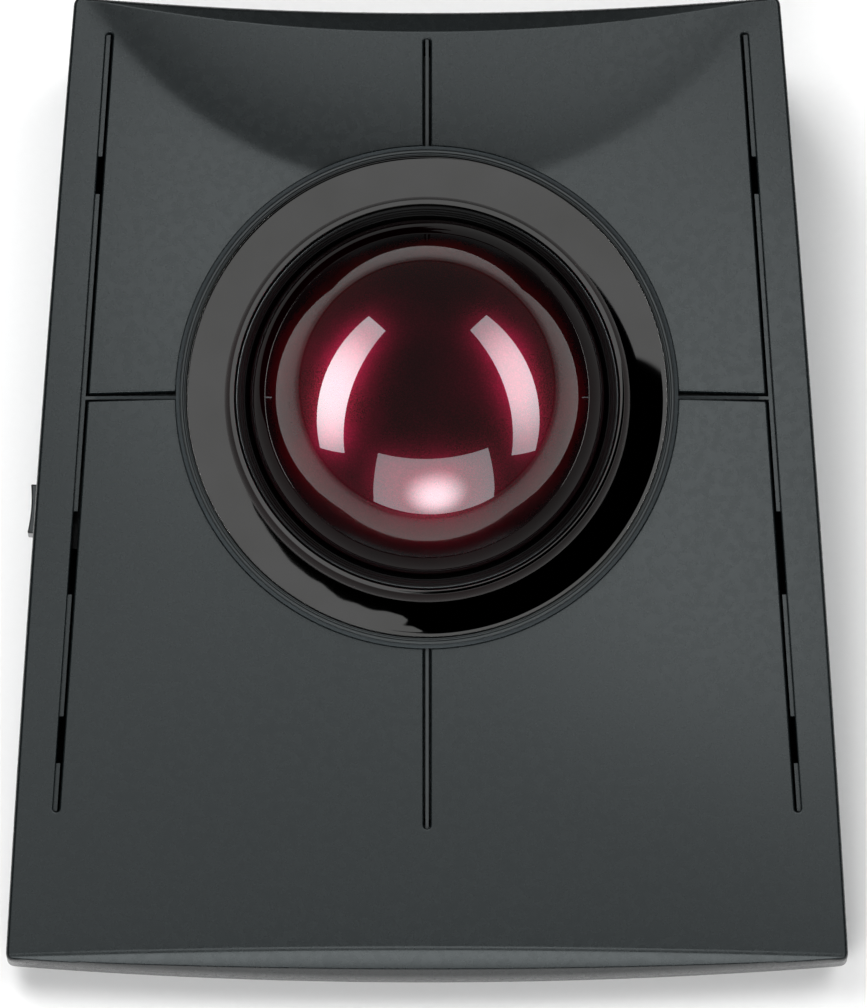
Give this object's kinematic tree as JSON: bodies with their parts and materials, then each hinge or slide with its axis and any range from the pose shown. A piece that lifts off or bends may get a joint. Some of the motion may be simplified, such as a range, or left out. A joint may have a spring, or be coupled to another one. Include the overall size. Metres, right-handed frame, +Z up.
{
  "type": "trackball",
  "caption": "Wide wedge-shaped desktop trackball: a large ball in a glossy ring, with hinged button plates round it.",
  "frame": {"origin": "on the table under the centre of the bounding box", "axes": "+Z up, +Y towards the back of the device (away from the user), +X to the right"},
  "size_m": [0.1308, 0.15, 0.058],
  "materials": {
    "satin_graphite": "satin, fine metallic grain",
    "frame_graphite": "satin",
    "gloss_black": "high gloss",
    "ball_red": "clear-coated, red with fine speckle",
    "cup_black": "satin",
    "tray_black": "fine moulded texture",
    "switch_black": "satin",
    "ceramic": "polished ceramic",
    "clear_lens": "clear",
    "board_green": "solder mask",
    "switch_red": "matte",
    "plunger_white": "satin",
    "cell_silver": "foil pouch",
    "steel": "zinc plated",
    "foot_rubber": "matte",
    "receiver_black": "satin"
  },
  "bodies": {
    "housing": {"top_cover": "satin_graphite", "inner_frame": "frame_graphite", "bezel_ring": "gloss_black", "ball_cup": "cup_black", "bearing_back": "ceramic", "bearing_front_left": "ceramic", "bearing_front_right": "ceramic", "sensor_lens_left": "clear_lens", "sensor_lens_right": "clear_lens", "sensor_board_left": "board_green", "sensor_board_right": "board_green", "main_board": "board_green", "battery": "cell_silver", "usb_c_socket": "steel", "lock_bracket": "steel", "receiver_bay": "tray_black", "mode_switch_body": "switch_black", "base_tray": "tray_black", "tact_switches": "switch_black", "status_light_pipe": "clear_lens", "foot_front_left": "foot_rubber", "foot_front_right": "foot_rubber", "foot_back_left": "foot_rubber", "foot_back_right": "foot_rubber", "housing_screws": "steel", "board_screws": "steel", "cup_screws": "steel", "microswitch_front_left": "switch_red", "microswitch_front_right": "switch_red", "microswitch_back_left": "switch_red", "microswitch_back_right": "switch_red"},
    "ball": {"trackball": "ball_red"},
    "receiver": {"usb_receiver": "receiver_black"},
    "mode_slider": {"mode_slider": "switch_black"},
    "dpi_button": {"dpi_button": "switch_black"},
    "pairing_button": {"pairing_button": "switch_black"},
    "button_front_left": {"button_front_left": "satin_graphite"},
    "plunger_front_left": {"plunger_front_left": "plunger_white"},
    "button_front_right": {"button_front_right": "satin_graphite"},
    "plunger_front_right": {"plunger_front_right": "plunger_white"},
    "button_back_left": {"button_back_left": "satin_graphite"},
    "plunger_back_left": {"plunger_back_left": "plunger_white"},
    "button_back_right": {"button_back_right": "satin_graphite"},
    "plunger_back_right": {"plunger_back_right": "plunger_white"}
  },
  "joints": [
    {"name": "ball_roll", "type": "hinge", "parent": "housing", "child": "ball", "pos_m": [0, 0.0133, 0.0305], "axis": [1, 0, 0], "continuous": true},
    {"name": "press_front_left", "type": "hinge", "parent": "housing", "child": "button_front_left", "pos_m": [0, -0.051, 0.01556], "axis": [-1, 0, 0], "range_deg": [0, 0.9], "stiffness_Nm_per_rad": 1.5, "springref_deg": -0.57},
    {"name": "press_front_right", "type": "hinge", "parent": "housing", "child": "button_front_right", "pos_m": [0, -0.051, 0.01556], "axis": [-1, 0, 0], "range_deg": [0, 0.9], "stiffness_Nm_per_rad": 1.5, "springref_deg": -0.57},
    {"name": "press_back_left", "type": "hinge", "parent": "housing", "child": "button_back_left", "pos_m": [0, 0.0695, 0.0347], "axis": [1, 0, 0], "range_deg": [0, 0.9], "stiffness_Nm_per_rad": 1.5, "springref_deg": -0.57},
    {"name": "press_back_right", "type": "hinge", "parent": "housing", "child": "button_back_right", "pos_m": [0, 0.0695, 0.0347], "axis": [1, 0, 0], "range_deg": [0, 0.9], "stiffness_Nm_per_rad": 1.5, "springref_deg": -0.57},
    {"name": "plunge_front_left", "type": "slide", "parent": "housing", "child": "plunger_front_left", "axis": [0, 0, -1], "range_m": [0, 0.000743]},
    {"name": "plunge_front_right", "type": "slide", "parent": "housing", "child": "plunger_front_right", "axis": [0, 0, -1], "range_m": [0, 0.000743]},
    {"name": "plunge_back_left", "type": "slide", "parent": "housing", "child": "plunger_back_left", "axis": [0, 0, -1], "range_m": [0, 0.000609]},
    {"name": "plunge_back_right", "type": "slide", "parent": "housing", "child": "plunger_back_right", "axis": [0, 0, -1], "range_m": [0, 0.000609]},
    {"name": "mode_slide", "type": "slide", "parent": "housing", "child": "mode_slider", "axis": [0.0739, 0.9973, 0], "range_m": [-0.002, 0.002]},
    {"name": "receiver_slide", "type": "slide", "parent": "housing", "child": "receiver", "axis": [0, 1, 0], "range_m": [0, 0.0195]},
    {"name": "dpi_press", "type": "slide", "parent": "housing", "child": "dpi_button", "axis": [0, 0, 1], "range_m": [0, 0.0004], "stiffness_N_per_m": 400, "springref_m": -0.0005},
    {"name": "pairing_press", "type": "slide", "parent": "housing", "child": "pairing_button", "axis": [0, 0, 1], "range_m": [0, 0.0004], "stiffness_N_per_m": 400, "springref_m": -0.0005}
  ],
  "couplings": [
    {"joint": "plunge_front_left", "follows": "press_front_left", "m_per_rad": 0.046},
    {"joint": "plunge_front_right", "follows": "press_front_right", "m_per_rad": 0.046},
    {"joint": "plunge_back_left", "follows": "press_back_left", "m_per_rad": 0.0375},
    {"joint": "plunge_back_right", "follows": "press_back_right", "m_per_rad": 0.0375}
  ]
}
